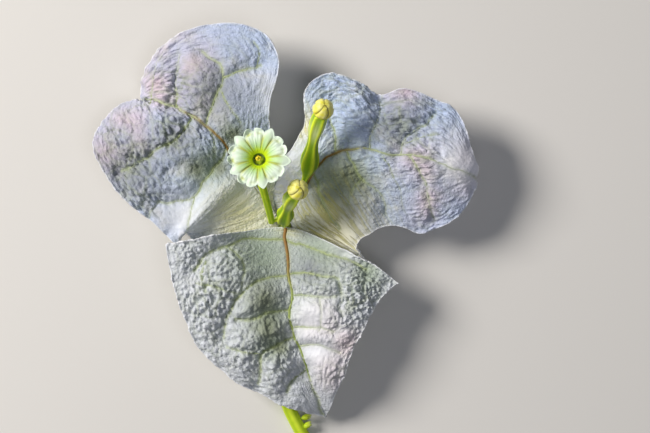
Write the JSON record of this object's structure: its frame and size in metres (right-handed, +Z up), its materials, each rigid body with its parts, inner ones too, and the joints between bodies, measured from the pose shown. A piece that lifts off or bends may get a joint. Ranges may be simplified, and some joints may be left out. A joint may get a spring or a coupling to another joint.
{
  "type": "bougainvillea",
  "caption": "Picked white bougainvillea cyme lying on its back: papery bracts round a short stalk, with an open star-shaped flower and ribbed buds in front of them.",
  "frame": {"origin": "middle of the footprint, on the surface that the cyme lies on", "axes": "+Z up, out of the open flower towards whoever looks at it; -Y along the stalk to its cut end; +X to the right bract"},
  "size_m": [0.0644, 0.0718, 0.0207],
  "materials": {
    "bract": "matte",
    "stalk": "satin",
    "limb": "satin",
    "yellow": "satin"
  },
  "bodies": {
    "root": {"bract_left": "bract", "bract_right": "bract", "bract_lower": "bract", "peduncle": "stalk", "flower_tube": "stalk", "flower_limb": "limb", "flower_anthers": "yellow", "upper_bud_tube": "stalk", "upper_bud_knob": "yellow", "lower_bud_tube": "stalk", "lower_bud_knob": "yellow"}
  },
  "joints": []
}
